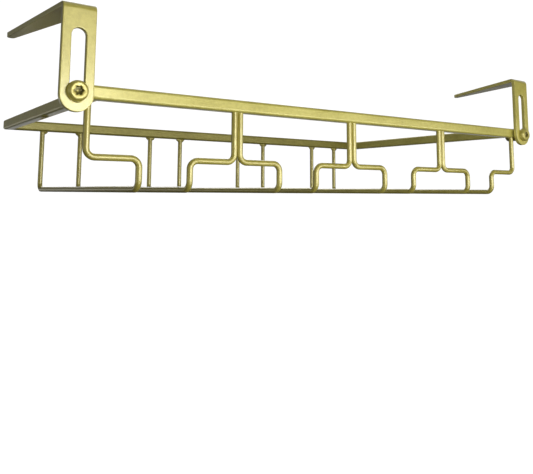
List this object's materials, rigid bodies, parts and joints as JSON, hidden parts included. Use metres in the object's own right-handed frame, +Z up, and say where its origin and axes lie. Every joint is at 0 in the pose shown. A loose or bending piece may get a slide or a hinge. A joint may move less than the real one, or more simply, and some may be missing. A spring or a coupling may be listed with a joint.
{
  "type": "hanging wine glass rack",
  "caption": "Gold metal rack that clamps under a shelf and holds upturned stemmed glasses by the foot in channels of bent wire, with slotted hook brackets that slide.",
  "frame": {"origin": "centre of the bounding box in X and Y, level with the bottom of the wire runs, on which the rack stands when it is off the shelf", "axes": "+X along the front rail to the right as seen from the front, +Y from the front rail to the rear rail, +Z up towards the shelf"},
  "size_m": [0.5008, 0.2486, 0.1175],
  "materials": {
    "rail_gold": "satin gold paint on square steel tube",
    "wire_gold": "satin gold paint on steel wire",
    "boss_gold": "darker gold paint on a turned steel boss",
    "bracket_gold": "satin gold paint on bent steel plate",
    "screw_gold": "satin gold paint on a steel screw"
  },
  "bodies": {
    "frame": {"front_rail": "rail_gold", "rear_rail": "rail_gold", "left_rail": "rail_gold", "right_rail": "rail_gold", "guide_wire_1": "wire_gold", "guide_wire_2": "wire_gold", "guide_wire_3": "wire_gold", "guide_wire_4": "wire_gold", "guide_wire_5": "wire_gold", "guide_wire_6": "wire_gold", "guide_wire_7": "wire_gold", "guide_wire_8": "wire_gold", "left_boss": "boss_gold", "right_boss": "boss_gold"},
    "left_bracket": {"left_bracket": "bracket_gold"},
    "left_screw": {"left_screw": "screw_gold"},
    "right_bracket": {"right_bracket": "bracket_gold"},
    "right_screw": {"right_screw": "screw_gold"}
  },
  "joints": [
    {"name": "left_bracket_slide", "type": "slide", "parent": "frame", "child": "left_bracket", "axis": [0, 0, 1], "range_m": [-0.0342, 0.0023]},
    {"name": "left_screw_turn", "type": "hinge", "parent": "frame", "child": "left_screw", "pos_m": [-0.2283, -0.1203, 0.0603], "axis": [0, 1, 0], "continuous": true},
    {"name": "right_bracket_slide", "type": "slide", "parent": "frame", "child": "right_bracket", "axis": [0, 0, 1], "range_m": [-0.0362, 0.0003]},
    {"name": "right_screw_turn", "type": "hinge", "parent": "frame", "child": "right_screw", "pos_m": [0.2283, -0.1203, 0.0603], "axis": [0, 1, 0], "continuous": true}
  ]
}
